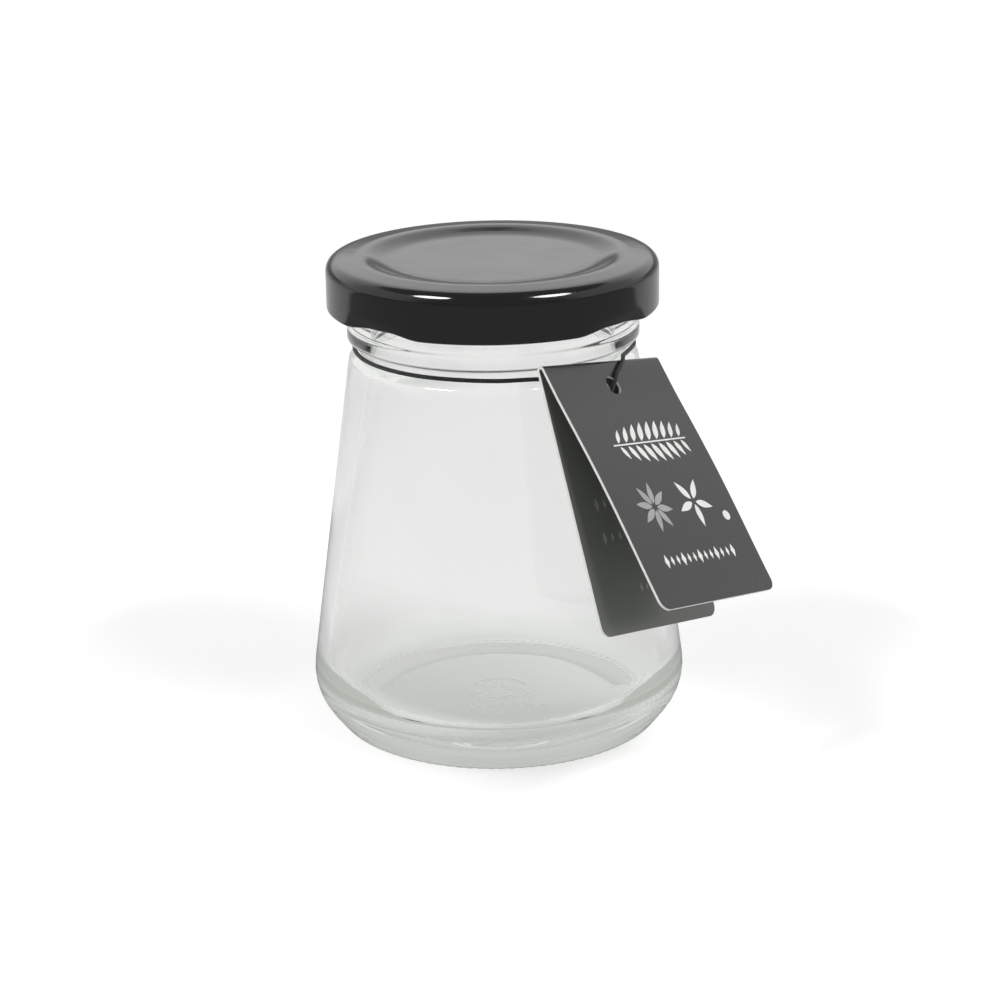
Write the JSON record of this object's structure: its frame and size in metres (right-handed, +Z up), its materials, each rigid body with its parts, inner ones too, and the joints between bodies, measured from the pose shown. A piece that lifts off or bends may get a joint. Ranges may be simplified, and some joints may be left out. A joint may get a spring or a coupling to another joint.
{
  "type": "glass jar with twist-off lid and hanging tag",
  "caption": "Small empty conical jar of clear glass with a black four-lug twist-off lid and a folded black card tag tied round its neck with thin black elastic cord, 75 mm tall.",
  "frame": {"origin": "centre of the ring that the jar stands on, on the jar's axis", "axes": "+Z up along the jar's axis; -Y is the front; the tag hangs to the front and right (+X)"},
  "size_m": [0.0702, 0.0764, 0.075],
  "materials": {
    "glass": "gloss",
    "lid": "gloss",
    "card": "gloss",
    "cord": "matte"
  },
  "bodies": {
    "root": {"jar": "glass", "lid": "lid", "tag": "card", "cord": "cord", "knot": "cord"}
  },
  "joints": []
}
